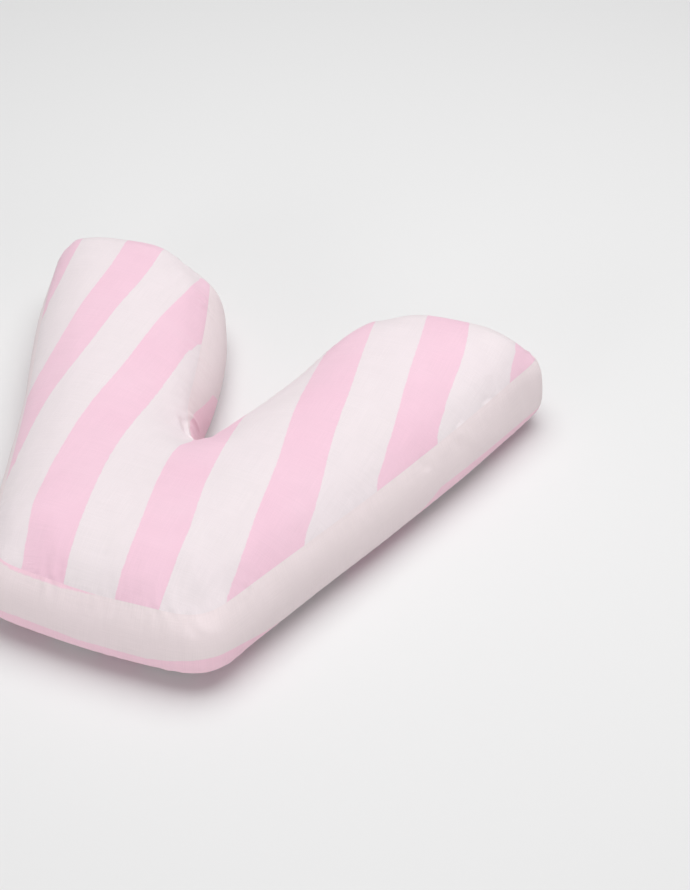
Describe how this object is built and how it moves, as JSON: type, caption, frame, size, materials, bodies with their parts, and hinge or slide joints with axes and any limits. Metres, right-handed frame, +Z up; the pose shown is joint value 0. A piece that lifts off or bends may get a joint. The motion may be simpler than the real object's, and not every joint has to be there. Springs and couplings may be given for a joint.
{
  "type": "letter cushion",
  "caption": "Stuffed cushion in the shape of a capital V with a flat side band and wide two-tone stripes, for a bed, cot or shelf.",
  "frame": {"origin": "under the middle of the cushion's bounding box, on the surface it lies on", "axes": "+Z up through the cushion's thickness, +X across the letter from its left arm to its right arm, +Y from the letter's foot to the tips of its arms"},
  "size_m": [0.4262, 0.3848, 0.0923],
  "materials": {
    "front_cotton": "matt woven cotton, wide pink and white stripes",
    "band_cotton": "matt woven cotton, white with a pink strip along the lower seam",
    "back_cotton": "matt woven cotton, wide pink and white stripes"
  },
  "bodies": {
    "root": {"front_panel": "front_cotton", "side_gusset": "band_cotton", "back_panel": "back_cotton"}
  },
  "joints": []
}
